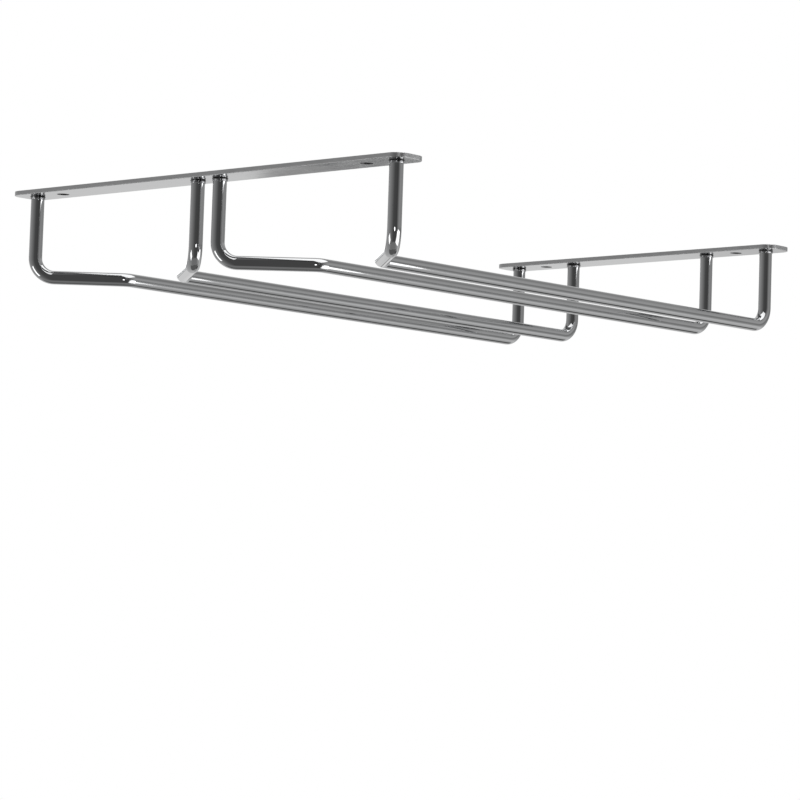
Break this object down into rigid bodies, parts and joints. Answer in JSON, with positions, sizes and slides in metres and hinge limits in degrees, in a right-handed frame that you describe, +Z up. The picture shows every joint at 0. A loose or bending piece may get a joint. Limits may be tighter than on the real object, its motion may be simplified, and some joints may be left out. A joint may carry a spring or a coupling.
{
  "type": "hanging stemware rack",
  "caption": "Under-shelf hanging rack for stemmed glasses: chrome wire rails flare at the front into wide mouths and hang side by side from two flat screw-on strips.",
  "frame": {"origin": "midway between the two front screw holes, on the top faces of the mounting strips, where they press against the shelf", "axes": "+X to the right seen from the open front, +Y from the open front to the rear along the rails, +Z up towards the shelf"},
  "size_m": [0.2126, 0.291, 0.0375],
  "materials": {
    "chromed_strip": "bright chrome plate on rolled steel strip, with slight rolling waves",
    "chromed_wire": "mirror chrome plate on drawn steel wire",
    "chromed_weld": "chrome plate over a small rough weld bead"
  },
  "bodies": {
    "root": {"front_plate": "chromed_strip", "rear_plate": "chromed_strip", "left_outer_rail": "chromed_wire", "left_inner_rail": "chromed_wire", "right_inner_rail": "chromed_wire", "right_outer_rail": "chromed_wire", "left_outer_front_weld": "chromed_weld", "left_outer_rear_weld": "chromed_weld", "left_inner_front_weld": "chromed_weld", "left_inner_rear_weld": "chromed_weld", "right_inner_front_weld": "chromed_weld", "right_inner_rear_weld": "chromed_weld", "right_outer_front_weld": "chromed_weld", "right_outer_rear_weld": "chromed_weld"}
  },
  "joints": []
}
